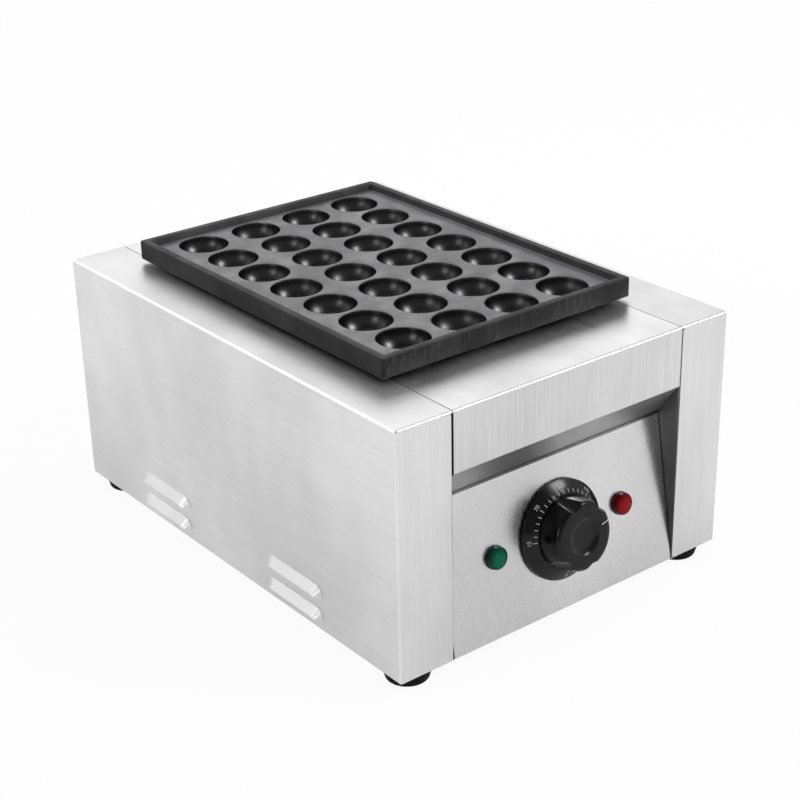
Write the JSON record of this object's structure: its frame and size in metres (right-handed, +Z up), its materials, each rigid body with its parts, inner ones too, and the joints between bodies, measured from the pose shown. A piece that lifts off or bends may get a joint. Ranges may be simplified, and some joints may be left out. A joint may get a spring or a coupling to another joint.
{
  "type": "takoyaki maker",
  "caption": "Countertop electric takoyaki maker: folded steel cabinet, lift-off cast iron plate of round cavities, sloping front panel with a thermostat dial and signal lamps",
  "frame": {"origin": "under the middle of the whole object, on the surface it stands on", "axes": "+Z up, front with the dial faces -Y, +X to the right seen from the front"},
  "size_m": [0.2972, 0.4266, 0.205],
  "materials": {
    "steel": "brushed stainless sheet, satin",
    "galvanised": "galvanised sheet",
    "cast_iron": "black satin non-stick on cast iron, ground edges",
    "aluminised": "aluminised sheet",
    "plated": "zinc plated",
    "element_sheath": "heat-tinted steel sheath",
    "copper": "bare copper tube",
    "ceramic": "off-white steatite, satin",
    "rubber": "black moulded rubber",
    "knob_plastic": "black phenolic, satin, white numerals",
    "black_plastic": "black nylon",
    "lens_green": "clear green lens",
    "lens_red": "clear red lens"
  },
  "bodies": {
    "cabinet": {"side_casing_right": "steel", "side_casing_left": "steel", "deck_shell": "steel", "control_panel": "steel", "rear_panel": "steel", "base_plate": "galvanised", "reflector_tray": "aluminised", "element_bracket_front": "plated", "element_bracket_rear": "plated", "heating_element_left": "element_sheath", "heating_element_right": "element_sheath", "capillary_sensor": "copper", "bulb_clip": "plated", "terminal_block": "ceramic", "foot_front_left": "rubber", "foot_front_right": "rubber", "foot_rear_left": "rubber", "foot_rear_right": "rubber", "foot_screw_front_left": "plated", "foot_screw_front_right": "plated", "foot_screw_rear_left": "plated", "foot_screw_rear_right": "plated", "thermostat_body": "ceramic", "thermostat_screw_left": "plated", "thermostat_screw_right": "plated", "lamp_lens_green": "lens_green", "lamp_lens_red": "lens_red", "lamp_body_green": "black_plastic", "lamp_body_red": "black_plastic", "cable_gland": "black_plastic", "gland_cap": "black_plastic", "gland_nut": "black_plastic", "case_screw_lower_left": "plated", "case_screw_upper_left": "plated", "case_screw_lower_right": "plated", "case_screw_upper_right": "plated"},
    "plate": {"takoyaki_plate": "cast_iron"},
    "knob": {"dial_knob": "knob_plastic", "dial_shaft": "plated"}
  },
  "joints": [
    {"name": "dial_turn", "type": "hinge", "parent": "cabinet", "child": "knob", "pos_m": [0, -0.18493, 0.06699], "axis": [0, 0.9853, -0.1707], "range_deg": [0, 270]},
    {"name": "plate_lift", "type": "slide", "parent": "cabinet", "child": "plate", "axis": [0, 0, 1], "range_m": [0, 0.06]}
  ]
}
